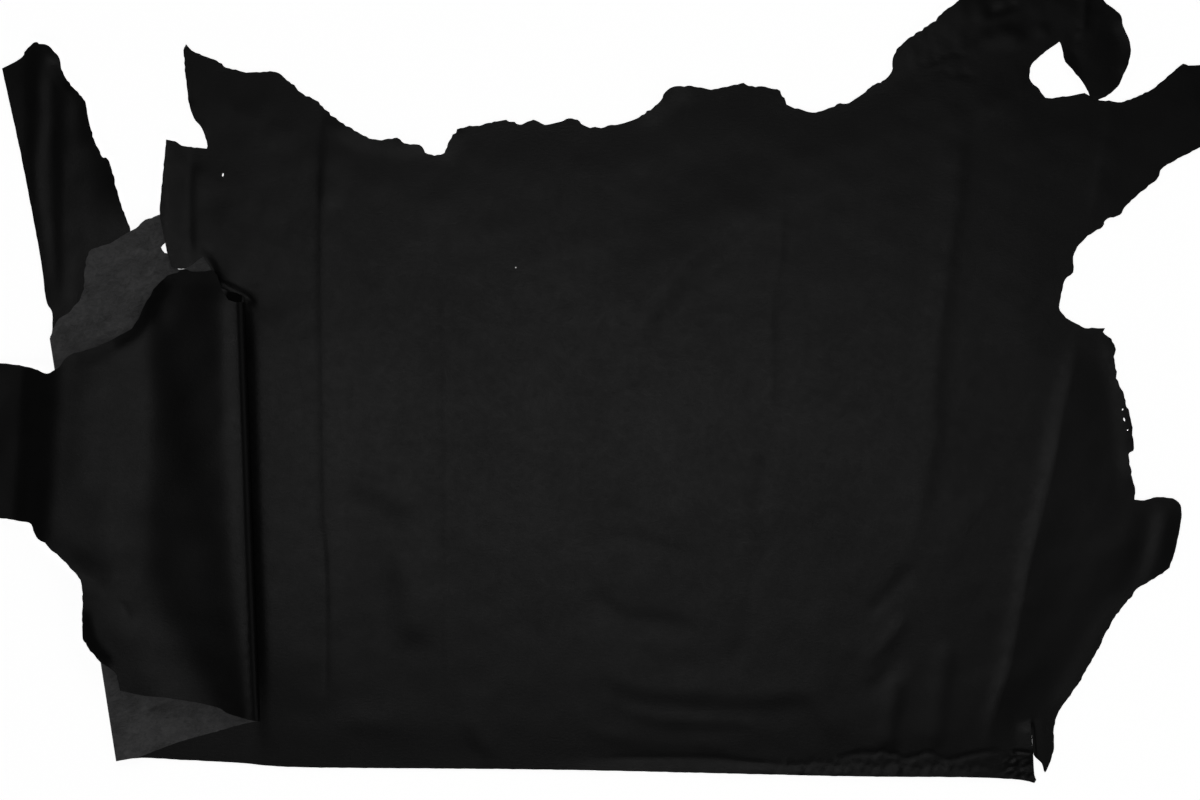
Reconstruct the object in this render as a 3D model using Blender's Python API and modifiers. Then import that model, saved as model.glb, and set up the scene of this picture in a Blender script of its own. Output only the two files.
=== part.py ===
# Leather hide: one side of black cattle leather. It lies grain side up on a flat surface, with its left
# end folded over to the right (flesh side up) and back to the left (grain side up again), as a Z of three
# layers.
#
# The edge is given as it lies, layer by layer. It is unfolded to the flat pattern, the pattern is filled
# with triangles, and those are folded again about the same two axes.

import math
from collections import namedtuple

import bmesh
import bpy
from mathutils import Vector
from mathutils.geometry import delaunay_2d_cdt
from mathutils.kdtree import KDTree

# Driving dimensions, in metres.
CM = 0.01
THICKNESS = 0.0016  # the leather itself
TIGHT_RADIUS = 0.002  # pressed fold at the left, to the middle of the leather
ROLL_RADIUS = 0.016  # open roll where the end turns back
LAYER_GAP = 0.0009  # air between the returned end and the layer under it
ROLL_SLOPE = 0.130  # how far from the roll the returned end comes to rest
FLOOR_SLOPE = 0.065  # how far past the pressed fold it reaches the floor

FLAP_LIFT = 0.0070  # the flank's flap lies on the tip of the folded layer
FLAP_LEFT = 4 * CM  # all of the flap is right of this line, and the hind leg is left of it
FLAP_X = (11.6 * CM, 9.0 * CM)  # from the body's level up to the full lift
FLAP_Y = (99 * CM, 93 * CM)
FLAP_FOOT = 79.5 * CM

LEG_FOOT = 0.10  # from this far past the pressed fold's top end, the hind leg stays flat
LEG_REACH = 0.013  # though it stands out this far past the fold's line, at most

HOOK_LIFT = 0.0034  # the foreleg's hook rests on the body's edge
HOOK_SHIFT = Vector((0, -0.018))
HOOK_X = (150.5 * CM, 162 * CM)
HOOK_Y = (119 * CM, 109.2 * CM)
HOOK_FOOT = 108.6 * CM

# Mesh sizes, in metres.
EDGE_STEP = 0.030
BODY_STEP = 0.042
FOLDED_STEP = 0.026
CREST_STEP = 0.045
FOLD_LINE_STEP = 0.040
TIGHT_END = 0.012  # the facets' lines run this far past the top of each fold, across the edge
ROLL_END = 0.030
TIGHT_FACETS = 4
ROLL_FACETS = 8
CROWDING = 0.6  # a grid point this share of a step from another is left out

# Layers, bottom up.
BODY, OVER, BACK = "body", "over", "back"

# Outer lines of the two folds, each from its top to its bottom end: x, y in centimetres.
TIGHT_FOLD = ((-11.2, 69.1), (-0.6, 1.6))
ROLL_FOLD = ((19.8, 74.9), (22.2, 8.0))

# The edge as it lies, anticlockwise: points x, y in centimetres from the bottom of the pressed fold. Each
# stretch is one smooth line, and the edge turns sharply where two of them meet.
Stretch = namedtuple("Stretch", "layer name points")
EDGE = (
    Stretch(BODY, "backbone cut", [
        (-0.6, 1.6), (10, 1.8), (30, 0.6), (70, 0.2), (115, -0.8), (144, -1.4), (146, -2),
    ]),
    Stretch(BODY, "rump nick", [(146, -2), (146, 2.2)]),
    Stretch(BODY, "rump tip", [(146, 2.2), (147.8, -0.2)]),
    Stretch(BODY, "rump", [
        (147.8, -0.2), (149.1, 3.7), (149.4, 8.2), (153, 14), (156, 19), (158.5, 23.5), (163.5, 29.8),
        (167.7, 32.5), (169, 37), (169.6, 40.5), (168.2, 43.6), (162.2, 43.4),
    ]),
    Stretch(BODY, "neck base", [
        (162.2, 43.4), (161.6, 47), (161.3, 51), (161.8, 55.4), (160.6, 59.2), (159, 66), (157.4, 70.8),
    ]),
    Stretch(BODY, "neck hollow", [
        (157.4, 70.8), (153.6, 71.1), (150.2, 73.6), (150.6, 77.3), (152.3, 82.2), (154.3, 85.2),
        (158.2, 88.5), (160.5, 90), (165.8, 94.7), (166.8, 96.6), (172.8, 99.8), (177, 102),
        (179.2, 106.5), (177, 111), (172.8, 112.9), (170, 113), (164.2, 108.6), (160, 107),
        (156.2, 107.2), (154, 108.3),
    ]),
    Stretch(BODY, "foreleg gap", [
        (154, 108.3), (151.7, 107.7), (147.9, 107.5), (146.6, 109), (145.3, 110.7), (145.6, 112.8),
        (147.2, 114.4), (150.1, 116.6),
    ]),
    Stretch(BODY, "hook inside", [
        (150.1, 116.6), (151.2, 114.4), (153.1, 112.4), (154.4, 110.7), (155.3, 109),
    ]),
    Stretch(BODY, "hook and foreleg end", [
        (155.3, 109), (156.6, 109.2), (159, 110.7), (160.3, 112.6), (161.4, 115.4), (160.2, 119.5),
        (157.6, 122.7), (154.8, 126.4), (152.5, 131.2), (147.2, 134.4), (140.8, 133.6), (135.6, 128.8),
        (134, 123.2),
    ]),
    Stretch(BODY, "foreleg", [
        (134, 123.2), (129.9, 119.7), (125, 116.4), (123.1, 112), (120.5, 109.8), (116.5, 106.8),
    ]),
    Stretch(BODY, "belly", [
        (116.5, 106.8), (111.6, 105.4), (107, 106.4), (105, 109), (99.6, 110), (94, 109), (88.2, 109.3),
        (86, 106.6), (82.8, 104.6), (75.1, 102.9), (71.7, 104.3), (67.4, 103.5), (63, 103.8),
        (57.9, 103.2), (54.4, 102.8), (51.7, 98.9), (48.8, 99), (45.4, 100.4), (40.8, 101),
        (34.4, 104.3), (28.5, 108.8), (23.4, 111.9), (17, 112.5), (12.6, 114.6), (10.5, 116.2),
    ]),
    Stretch(BODY, "flank", [(10.5, 116.2), (11.1, 106.1), (13.8, 100)]),
    Stretch(BODY, "flap top", [(13.8, 100), (9.9, 100.2), (7.4, 100.9)]),
    Stretch(BODY, "flap side", [(7.4, 100.9), (6.9, 91.2), (6.6, 89), (7.6, 83), (8.2, 80.7)]),
    Stretch(BODY, "flap foot", [(8.2, 80.7), (10.2, 80.4), (11.4, 80.9), (13.1, 82.3)]),
    Stretch(BODY, "hidden notch", [
        (13.1, 82.3), (12.2, 79.2), (9.6, 75.8), (6.1, 74.7), (3.2, 77.6), (1.8, 83.2), (0, 91.2),
    ]),
    Stretch(BODY, "hind leg", [
        (0, 91.2), (-2.6, 98), (-5.1, 104.5), (-6.1, 108), (-9.4, 112.2), (-11.6, 116), (-13.5, 116.6),
        (-18.9, 112.3),
    ]),
    Stretch(BODY, "hind leg side", [
        (-18.9, 112.3), (-15.6, 97), (-12.8, 82.3), (-10.9, 73.2), (-11.2, 69.1),
    ]),
    Stretch(OVER, "tip of the folded layer", [
        (-11.2, 69.1), (-10.1, 71.8), (-7.4, 74.2), (-5.7, 78.4), (-4.9, 82.9), (-1.3, 84.6),
        (3.7, 87.7), (7.6, 88.9),
    ]),
    Stretch(OVER, "torn side", [(7.6, 88.9), (7.8, 85.6), (6.3, 83.5), (8.1, 81.6), (9.2, 80.2)]),
    Stretch(OVER, "beside the flap", [(9.2, 80.2), (10.5, 80.1), (11.7, 80.7), (13.3, 82)]),
    Stretch(OVER, "up the roll", [
        (13.3, 82), (13.9, 81.1), (15.7, 79.7), (17.1, 77.1), (18.8, 76.3), (20, 74.9),
    ]),
    Stretch(BACK, "returned end, down the roll", [(20, 74.9), (16.8, 76.9), (14.9, 79.6)]),
    Stretch(BACK, "returned end", [
        (14.9, 79.6), (11.8, 79.3), (8.2, 79), (5.8, 77.3), (3, 72.3), (-0.3, 69.4), (-7.4, 66.6),
        (-9.6, 64.5), (-13.1, 64.1), (-19.2, 65.2), (-24, 64.8), (-28, 61.6), (-29.1, 53),
        (-26.4, 43.2), (-19.2, 40.4), (-14.1, 39.4), (-8.5, 33.3), (-5.8, 28.4), (-5.9, 22.4),
        (-3.3, 17.8), (0.2, 13.4),
    ]),
    Stretch(BACK, "returned backbone", [(0.2, 13.4), (9.6, 11.6), (15.4, 10.4), (22.2, 8.0)]),
    Stretch(OVER, "folded backbone", [(22.2, 8.0), (14, 6), (3.2, 2.6), (-0.6, 1.6)]),
)

# Ridges in the body: height in millimetres, width of the left and right slope in centimetres, and the crest's
# points x, y in centimetres.
Ridge = namedtuple("Ridge", "name height left right crest")
RIDGES = (
    Ridge("flank ridge", 5, 2.5, 6, [
        (32.4, 106), (31.7, 83), (32, 59), (32.3, 41.5), (33, 27), (32.5, 8),
    ]),
    Ridge("loin ridge", 5, 6, 3, [
        (106.7, 97), (106, 80), (105, 67), (105.6, 56), (101.4, 43), (100.3, 30), (95.8, 22.5),
    ]),
    Ridge("shoulder ridge", 6, 7, 3, [
        (134.9, 106), (134.6, 92), (132.5, 73), (131, 55), (127.8, 43), (124, 32), (120, 16),
    ]),
    Ridge("neck ridge", 9, 4, 3, [
        (153, 69), (151.2, 60), (148.6, 48.6), (146.6, 38.7), (144.6, 29.8), (141.8, 16), (139, 3),
    ]),
    Ridge("rump ridge", 5, 2.5, 3.5, [(166, 43), (164.6, 36), (163, 30.5)]),
    Ridge("backbone ridge", 5, 3, 4, [
        (77, 17), (84, 14.5), (94, 13.5), (102, 12.6), (110, 12), (116.5, 4.5),
    ]),
    Ridge("throat ridge", 5, 4, 4, [(158.2, 105.5), (156.5, 96), (155.6, 88)]),
    Ridge("foreleg ridge", 6, 4, 5, [(144, 130), (140, 118), (137.5, 110)]),
    Ridge("hind leg ridge", 6, 3, 3, [(-15, 111), (-12.4, 97), (-10.6, 84), (-9.8, 75.5)]),
    Ridge("inner hind leg ridge", 5, 3, 3, [(-9.5, 110), (-7.6, 97), (-7.4, 86), (-8.4, 77)]),
)
RIDGE_END = 0.07  # a ridge dies away over this length at each end


def smooth(t):
    t = min(max(t, 0), 1)
    return t * t * (3 - 2 * t)


class Fold:
    """A fold about a straight axis: its outer line, the radius, and the side from which the leather comes."""

    def __init__(self, outer_line, radius, to_left):
        top, bottom = (Vector(end) * CM for end in outer_line)
        self.radius = radius
        self.length = (top - bottom).length
        self.up = (top - bottom).normalized()
        side = 1 if to_left else -1
        self.out = side * Vector((-self.up.y, self.up.x))
        self.foot = bottom - radius * self.out
        self.turn = math.pi * radius

    def at(self, out, up):
        return self.foot + out * self.out + up * self.up

    def stations(self, past_top):
        """Distances up the fold, from just below its bottom end to just past its top end."""
        count = round(self.length / FOLD_LINE_STEP)
        return [FOLD_LINE_STEP * (k - 0.5) for k in range(count)] + [self.length + past_top]

    def measured(self, point):
        return (point - self.foot).dot(self.out), (point - self.foot).dot(self.up)

    def unfolded(self, point, is_upper):
        out, up = self.measured(point)
        if out > 0:
            out = self.radius * math.asin(min(out / self.radius, 1))
        if is_upper:
            out = self.turn - out
        return self.at(out, up)

    def folded(self, point):
        """The place seen from above, the rise, and whether the point has passed the fold."""
        out, up = self.measured(point)
        if out <= 0:
            return point, 0, False
        if out < self.turn:
            angle = out / self.radius
            return self.at(self.radius * math.sin(angle), up), self.radius * (1 - math.cos(angle)), False
        return self.at(self.turn - out, up), 2 * self.radius, True


TIGHT = Fold(TIGHT_FOLD, TIGHT_RADIUS, to_left=True)
ROLL = Fold(ROLL_FOLD, ROLL_RADIUS, to_left=False)


def to_pattern(point, layer):
    if layer == BODY:
        return TIGHT.unfolded(point, is_upper=False)
    on_first_fold = ROLL.unfolded(point, is_upper=layer == BACK)
    return TIGHT.unfolded(on_first_fold, is_upper=True)


def curve_through(rows, step):
    """Points about a step apart on a smooth line through the rows, both ends included."""
    points = [Vector(row) * CM for row in rows]
    before = 2 * points[0] - points[1]
    after = 2 * points[-1] - points[-2]
    padded = [before, *points, after]
    line = []
    for a, b, c, d in zip(padded, padded[1:], padded[2:], padded[3:]):
        count = max(1, round((c - b).length / step))
        for i in range(count):
            t = i / count
            pull = b * 2 + (c - a) * t + (2 * a - 5 * b + 4 * c - d) * t**2 + (3 * b - a - 3 * c + d) * t**3
            line.append(pull / 2)
    return [*line, points[-1]]


def is_inside(point, loop):
    inside = False
    for a, b in zip(loop, [*loop[1:], loop[0]]):
        if (a.y > point.y) != (b.y > point.y):
            if point.x < a.x + (b.x - a.x) * (point.y - a.y) / (b.y - a.y):
                inside = not inside
    return inside


def beside(line, i, distance):
    """The point a distance to the left of the line, negative to the right, at its point i."""
    along = line[min(i + 1, len(line) - 1)] - line[max(i - 1, 0)]
    along.normalize()
    return line[i] + distance * Vector((-along.y, along.x))


CRESTS = [curve_through(ridge.crest, CREST_STEP) for ridge in RIDGES]


def pattern_loop():
    loop = []
    for stretch in EDGE:
        line = curve_through(stretch.points, EDGE_STEP)
        loop += [to_pattern(point, stretch.layer) for point in line[:-1]]
    return loop


def fold_lines():
    """Lines on the pattern along each facet of both folds."""
    lines = []
    for i in range(TIGHT_FACETS + 1):
        out = TIGHT.turn * i / TIGHT_FACETS
        lines.append([TIGHT.at(out, up) for up in TIGHT.stations(TIGHT_END)])
    for i in range(ROLL_FACETS + 1):
        out = ROLL.turn * i / ROLL_FACETS
        on_first_fold = [ROLL.at(out, up) for up in ROLL.stations(ROLL_END)]
        lines.append([TIGHT.unfolded(point, is_upper=True) for point in on_first_fold])
    return lines


def grid_points(loop):
    """Points in rows of triangles over the pattern, closer together where it is folded."""
    low = Vector((min(p.x for p in loop), min(p.y for p in loop)))
    high = Vector((max(p.x for p in loop), max(p.y for p in loop)))
    for step, wants_folded in ((BODY_STEP, False), (FOLDED_STEP, True)):
        rise = step * math.sqrt(3) / 2
        for j in range(int((high.y - low.y) / rise) + 1):
            for i in range(int((high.x - low.x) / step) + 1):
                point = low + Vector((step * (i + 0.5 * (j % 2)), rise * j))
                is_folded = point.x < FLAP_X[0] and (TIGHT.measured(point)[0] > 0 or point.y > TIGHT.length)
                if is_folded == wants_folded:
                    yield point, step


def pattern_mesh():
    """The flat pattern: its points, and triangles of their numbers."""
    loop = pattern_loop()
    points = list(loop)
    edges = [(i, (i + 1) % len(loop)) for i in range(len(loop))]

    for line in [*fold_lines(), *CRESTS]:
        first = len(points)
        points += line
        edges += [(i, i + 1) for i in range(first, first + len(line) - 1)]

    for ridge, crest in zip(RIDGES, CRESTS):
        for i in range(len(crest)):
            for distance in (ridge.left * CM, -ridge.right * CM):
                foot = beside(crest, i, distance)
                if is_inside(foot, loop):
                    points.append(foot)

    tree = KDTree(len(points))
    for i, point in enumerate(points):
        tree.insert(point.to_3d(), i)
    tree.balance()
    for point, step in grid_points(loop):
        if is_inside(point, loop) and tree.find(point.to_3d())[2] > CROWDING * step:
            points.append(point)

    spots, _, triangles, *_ = delaunay_2d_cdt(points, edges, [], 0, 1e-5)
    kept = []
    for triangle in triangles:
        middle = sum((spots[i] for i in triangle), Vector((0, 0))) / 3
        if is_inside(middle, loop):
            kept.append(triangle)
    return spots, kept


def ridge_height(point):
    """The highest ridge over a point of the body."""
    height = 0
    for ridge, crest in zip(RIDGES, CRESTS):
        near = min(range(len(crest)), key=lambda i: (crest[i] - point).length)
        side = (point - crest[near]).dot(beside(crest, near, 1) - crest[near])
        away = math.inf
        for a, b in zip(crest, crest[1:]):
            t = (point - a).dot(b - a) / (b - a).length_squared
            away = min(away, (point - a.lerp(b, min(max(t, 0), 1))).length)
        foot = (ridge.left if side > 0 else ridge.right) * CM
        ends = min((point - crest[0]).length, (point - crest[-1]).length)
        fade = smooth(ends / RIDGE_END)
        height = max(height, ridge.height / 1000 * fade * (1 - smooth(away / foot)))
    return height


def body_place(point):
    """A point of the body as it lies: with its ridges, the flank's flap and the foreleg's hook."""
    lift = ridge_height(point)
    in_flap = FLAP_LEFT < point.x < FLAP_X[0] and FLAP_FOOT < point.y < FLAP_Y[0]
    if in_flap:
        up_x = smooth((FLAP_X[0] - point.x) / (FLAP_X[0] - FLAP_X[1]))
        up_y = smooth((FLAP_Y[0] - point.y) / (FLAP_Y[0] - FLAP_Y[1]))
        lift += FLAP_LIFT * up_x * up_y
    if HOOK_X[0] < point.x < HOOK_X[1] and HOOK_FOOT < point.y < HOOK_Y[0]:
        share = smooth((HOOK_Y[0] - point.y) / (HOOK_Y[0] - HOOK_Y[1]))
        point = point + share * HOOK_SHIFT
        lift += HOOK_LIFT * share
    return point, THICKNESS / 2 + lift


def returned_height(point):
    """Height of the returned end: down from the roll, level on the folded layer, and off it to the floor."""
    floor = THICKNESS / 2
    level = floor + 2 * TIGHT_RADIUS + THICKNESS + LAYER_GAP
    top = floor + 2 * TIGHT_RADIUS + 2 * ROLL_RADIUS
    from_roll = -ROLL.measured(point)[0]
    past_fold = TIGHT.measured(point)[0] - TIGHT_RADIUS
    down = 1 - math.cos(math.pi * min(from_roll / ROLL_SLOPE, 1))
    height = top - (top - level) * down / 2
    return height - (level - floor) * smooth(past_fold / FLOOR_SLOPE)


def is_on_leg(flat):
    out, up = TIGHT.measured(flat)
    return up > TIGHT.length + LEG_FOOT and out < LEG_REACH


def laid(flat):
    """A point of the flat pattern as it lies."""
    seen, rise, is_over = (flat, 0, False) if is_on_leg(flat) else TIGHT.folded(flat)
    if not is_over:
        if rise:
            return (*seen, THICKNESS / 2 + rise)
        seen, height = body_place(seen)
        return (*seen, height)
    seen, further, is_back = ROLL.folded(seen)
    if is_back:
        return (*seen, returned_height(seen))
    return (*seen, THICKNESS / 2 + rise + further)


def leather():
    material = bpy.data.materials.new("black grain leather")
    material.use_nodes = True
    shader = material.node_tree.nodes["Principled BSDF"]
    shader.inputs["Base Color"].default_value = (0.008, 0.008, 0.008, 1)
    shader.inputs["Roughness"].default_value = 0.5
    shader.inputs["Metallic"].default_value = 0
    return material


def hide():
    """The folded sheet, centred over the origin and given its thickness."""
    spots, triangles = pattern_mesh()
    bm = bmesh.new()
    verts = [bm.verts.new(laid(spot)) for spot in spots]
    for triangle in triangles:
        bm.faces.new([verts[i] for i in triangle])
    loose = [v for v in bm.verts if not v.link_faces]
    bmesh.ops.delete(bm, geom=loose, context="VERTS")
    middle = [(min(v.co[k] for v in bm.verts) + max(v.co[k] for v in bm.verts)) / 2 for k in range(2)]
    bmesh.ops.translate(bm, verts=bm.verts, vec=(-middle[0], -middle[1], 0))
    mesh = bpy.data.meshes.new("hide")
    bm.to_mesh(mesh)
    bm.free()

    piece = bpy.data.objects.new("hide", mesh)
    mesh.materials.append(leather())
    mesh.shade_smooth()
    mesh.set_sharp_from_angle(angle=math.radians(50))
    solidify = piece.modifiers.new("thickness", "SOLIDIFY")
    solidify.thickness = THICKNESS
    solidify.offset = 0
    solidify.use_even_offset = True
    return piece


def main():
    for old in list(bpy.data.objects):
        bpy.data.objects.remove(old)
    parts = bpy.data.collections.new("leather hide")
    bpy.context.scene.collection.children.link(parts)
    parts.objects.link(hide())


main()
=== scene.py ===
import math
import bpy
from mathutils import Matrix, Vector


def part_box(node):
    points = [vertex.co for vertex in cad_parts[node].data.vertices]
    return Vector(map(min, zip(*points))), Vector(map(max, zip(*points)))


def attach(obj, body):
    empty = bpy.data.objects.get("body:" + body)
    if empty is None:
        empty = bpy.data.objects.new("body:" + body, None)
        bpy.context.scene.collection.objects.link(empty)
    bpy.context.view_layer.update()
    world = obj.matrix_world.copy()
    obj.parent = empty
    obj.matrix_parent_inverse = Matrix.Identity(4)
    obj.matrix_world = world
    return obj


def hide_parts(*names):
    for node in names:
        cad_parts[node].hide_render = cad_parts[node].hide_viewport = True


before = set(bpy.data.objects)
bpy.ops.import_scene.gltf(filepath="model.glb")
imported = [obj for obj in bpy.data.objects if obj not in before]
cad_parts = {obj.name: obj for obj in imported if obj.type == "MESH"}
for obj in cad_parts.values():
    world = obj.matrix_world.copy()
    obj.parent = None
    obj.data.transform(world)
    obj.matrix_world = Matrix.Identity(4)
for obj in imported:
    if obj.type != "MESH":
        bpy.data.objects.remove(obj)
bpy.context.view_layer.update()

from types import SimpleNamespace

import bpy
import numpy as np
from mathutils import Vector
from mathutils.geometry import delaunay_2d_cdt
from mathutils.kdtree import KDTree

cm = 0.01
mm = 0.001

# the sheet, cut flat and then folded
sheet = {
    "thick": 1.6 * mm,
    "bodyStep": 10 * mm,  # spacing of points inside the body
    "endStep": 7 * mm,  # and inside the folded end
    "edgeStep": 5 * mm,
    "foldStep": 9 * mm,
    "creaseStep": 4 * mm,
    "creaseReach": 2.4,  # how far beside a sharp crease its closer points go, in centimetres
    "clear": 0.6,  # how near a grid's points come to the fixed ones, as a share of its spacing
    "lineClear": 2.5 * mm,
    "tightRadius": 2 * mm,
    "rollRadius": 11.5 * mm,
    "layerGap": 0.9 * mm,
    "ragged": 0.75 * mm,  # how uneven the natural edge is
    "wobbles": ((1, 22 * mm, 11), (0.7, 9 * mm, 71)),  # share, pitch and first seed
    "sharpFrom": 0.3,  # creases this sharp get closer points
}

# outer lines of the two folds, top end then bottom end
tightLine = ((-11.2, 69.1), (-0.6, 1.6))
rollLine = ((19.8, 74.9), (22.2, 8))
legFoot = 10 * cm  # above the tight fold by this much, the hind leg lies beside it, not in it
legReach = 13 * mm  # and the leg goes no further than this past the fold's line
endCorner = (28 * cm, 66 * cm)  # left of this and above it, the body's points are as close as the end's

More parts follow.
